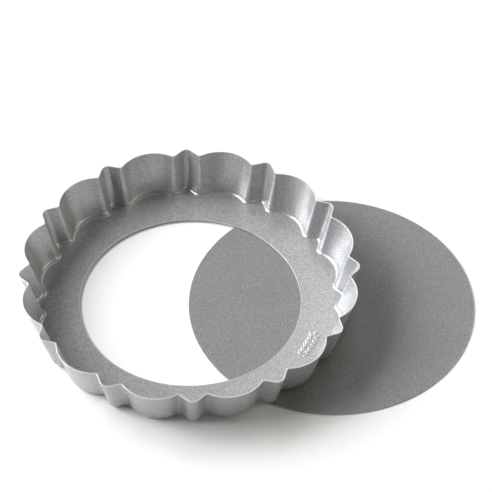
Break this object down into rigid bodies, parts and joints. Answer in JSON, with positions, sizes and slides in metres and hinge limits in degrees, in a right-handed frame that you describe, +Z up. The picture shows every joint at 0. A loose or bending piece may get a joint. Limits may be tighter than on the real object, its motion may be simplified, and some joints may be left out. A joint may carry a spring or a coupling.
{
  "type": "tart pan",
  "caption": "Round fluted tart pan in coated steel: a ring with wide and narrow lobes in turn, a flat inward ledge and a round hole, and a loose flat base that slides under it.",
  "frame": {"origin": "centre of the footprint of the ring and the base as they lie, on the surface they stand on", "axes": "+X along the line from the ring's axis to the base's centre, the way the base slides out; +Z up"},
  "size_m": [0.3482, 0.2596, 0.037],
  "materials": {
    "ring_coating": "silver-grey non-stick coating on steel, semi-gloss, finely mottled",
    "base_coating": "silver-grey non-stick coating on steel, satin, finely mottled"
  },
  "bodies": {
    "ring": {"fluted_ring": "ring_coating"},
    "base": {"loose_base": "base_coating"}
  },
  "joints": [
    {"name": "base_slide", "type": "slide", "parent": "ring", "child": "base", "axis": [1, 0, 0], "range_m": [-0.1086, 0.14]}
  ]
}
